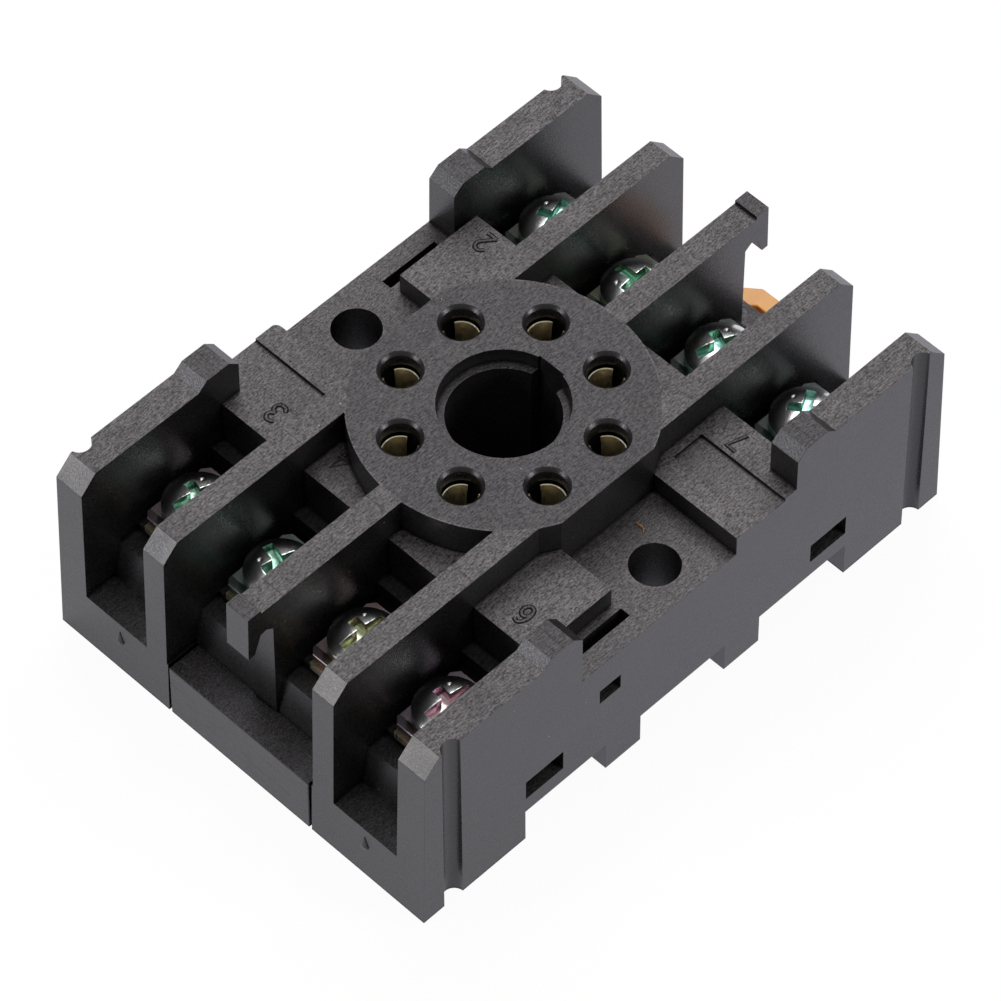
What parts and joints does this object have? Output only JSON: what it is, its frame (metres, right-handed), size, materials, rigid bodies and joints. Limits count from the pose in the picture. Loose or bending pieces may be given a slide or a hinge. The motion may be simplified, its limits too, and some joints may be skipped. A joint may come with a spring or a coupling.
{
  "type": "relay socket",
  "caption": "Octal plug-in relay socket with screw clamp terminals in walled wire channels, a rail latch and two panel screw holes.",
  "frame": {"origin": "axis of the octal tower, on the plane of the panel", "axes": "+X along the long side toward the latch's tab, +Z out of the panel through the tower"},
  "size_m": [0.0622, 0.0408, 0.021],
  "materials": {
    "black_plastic": "satin black thermoplastic, finely speckled",
    "orange_plastic": "satin orange nylon",
    "brass": "pale brass",
    "zinc_steel": "zinc plated steel with a passivated sheen"
  },
  "bodies": {
    "socket": {"housing": "black_plastic", "base_plate": "black_plastic", "terminal_1": "brass", "terminal_2": "brass", "terminal_3": "brass", "terminal_4": "brass", "terminal_5": "brass", "terminal_6": "brass", "terminal_7": "brass", "terminal_8": "brass"},
    "latch": {"rail_slider": "orange_plastic"},
    "clamp_1": {"clamp_plate_1": "zinc_steel"},
    "driver_1": {"screw_1": "zinc_steel"},
    "clamp_2": {"clamp_plate_2": "zinc_steel"},
    "driver_2": {"screw_2": "zinc_steel"},
    "clamp_3": {"clamp_plate_3": "zinc_steel"},
    "driver_3": {"screw_3": "zinc_steel"},
    "clamp_4": {"clamp_plate_4": "zinc_steel"},
    "driver_4": {"screw_4": "zinc_steel"},
    "clamp_5": {"clamp_plate_5": "zinc_steel"},
    "driver_5": {"screw_5": "zinc_steel"},
    "clamp_6": {"clamp_plate_6": "zinc_steel"},
    "driver_6": {"screw_6": "zinc_steel"},
    "clamp_7": {"clamp_plate_7": "zinc_steel"},
    "driver_7": {"screw_7": "zinc_steel"},
    "clamp_8": {"clamp_plate_8": "zinc_steel"},
    "driver_8": {"screw_8": "zinc_steel"}
  },
  "joints": [
    {"name": "latch_slide", "type": "slide", "parent": "socket", "child": "latch", "axis": [1, 0, 0], "range_m": [0, 0.003], "stiffness_N_per_m": 1200, "springref_m": -0.002},
    {"name": "clamp_lift_1", "type": "slide", "parent": "socket", "child": "clamp_1", "axis": [0, 0, 1], "range_m": [0, 0.0024]},
    {"name": "screw_turn_1", "type": "hinge", "parent": "clamp_1", "child": "driver_1", "pos_m": [0.0199, 0.00469, 0.012], "axis": [0, 0, 1], "range_deg": [0, 1440]},
    {"name": "clamp_lift_2", "type": "slide", "parent": "socket", "child": "clamp_2", "axis": [0, 0, 1], "range_m": [0, 0.0024]},
    {"name": "screw_turn_2", "type": "hinge", "parent": "clamp_2", "child": "driver_2", "pos_m": [0.0199, 0.01393, 0.012], "axis": [0, 0, 1], "range_deg": [0, 1440]},
    {"name": "clamp_lift_3", "type": "slide", "parent": "socket", "child": "clamp_3", "axis": [0, 0, 1], "range_m": [0, 0.0024]},
    {"name": "screw_turn_3", "type": "hinge", "parent": "clamp_3", "child": "driver_3", "pos_m": [-0.0199, 0.01393, 0.012], "axis": [0, 0, 1], "range_deg": [0, 1440]},
    {"name": "clamp_lift_4", "type": "slide", "parent": "socket", "child": "clamp_4", "axis": [0, 0, 1], "range_m": [0, 0.0024]},
    {"name": "screw_turn_4", "type": "hinge", "parent": "clamp_4", "child": "driver_4", "pos_m": [-0.0199, 0.00469, 0.012], "axis": [0, 0, 1], "range_deg": [0, 1440]},
    {"name": "clamp_lift_5", "type": "slide", "parent": "socket", "child": "clamp_5", "axis": [0, 0, 1], "range_m": [0, 0.0024]},
    {"name": "screw_turn_5", "type": "hinge", "parent": "clamp_5", "child": "driver_5", "pos_m": [-0.0199, -0.00469, 0.012], "axis": [0, 0, 1], "range_deg": [0, 1440]},
    {"name": "clamp_lift_6", "type": "slide", "parent": "socket", "child": "clamp_6", "axis": [0, 0, 1], "range_m": [0, 0.0024]},
    {"name": "screw_turn_6", "type": "hinge", "parent": "clamp_6", "child": "driver_6", "pos_m": [-0.0199, -0.01393, 0.012], "axis": [0, 0, 1], "range_deg": [0, 1440]},
    {"name": "clamp_lift_7", "type": "slide", "parent": "socket", "child": "clamp_7", "axis": [0, 0, 1], "range_m": [0, 0.0024]},
    {"name": "screw_turn_7", "type": "hinge", "parent": "clamp_7", "child": "driver_7", "pos_m": [0.0199, -0.01393, 0.012], "axis": [0, 0, 1], "range_deg": [0, 1440]},
    {"name": "clamp_lift_8", "type": "slide", "parent": "socket", "child": "clamp_8", "axis": [0, 0, 1], "range_m": [0, 0.0024]},
    {"name": "screw_turn_8", "type": "hinge", "parent": "clamp_8", "child": "driver_8", "pos_m": [0.0199, -0.00469, 0.012], "axis": [0, 0, 1], "range_deg": [0, 1440]}
  ],
  "couplings": [
    {"joint": "screw_turn_1", "follows": "clamp_lift_1", "rad_per_m": 10471},
    {"joint": "screw_turn_2", "follows": "clamp_lift_2", "rad_per_m": 10471},
    {"joint": "screw_turn_3", "follows": "clamp_lift_3", "rad_per_m": 10471},
    {"joint": "screw_turn_4", "follows": "clamp_lift_4", "rad_per_m": 10471},
    {"joint": "screw_turn_5", "follows": "clamp_lift_5", "rad_per_m": 10471},
    {"joint": "screw_turn_6", "follows": "clamp_lift_6", "rad_per_m": 10471},
    {"joint": "screw_turn_7", "follows": "clamp_lift_7", "rad_per_m": 10471},
    {"joint": "screw_turn_8", "follows": "clamp_lift_8", "rad_per_m": 10471}
  ]
}
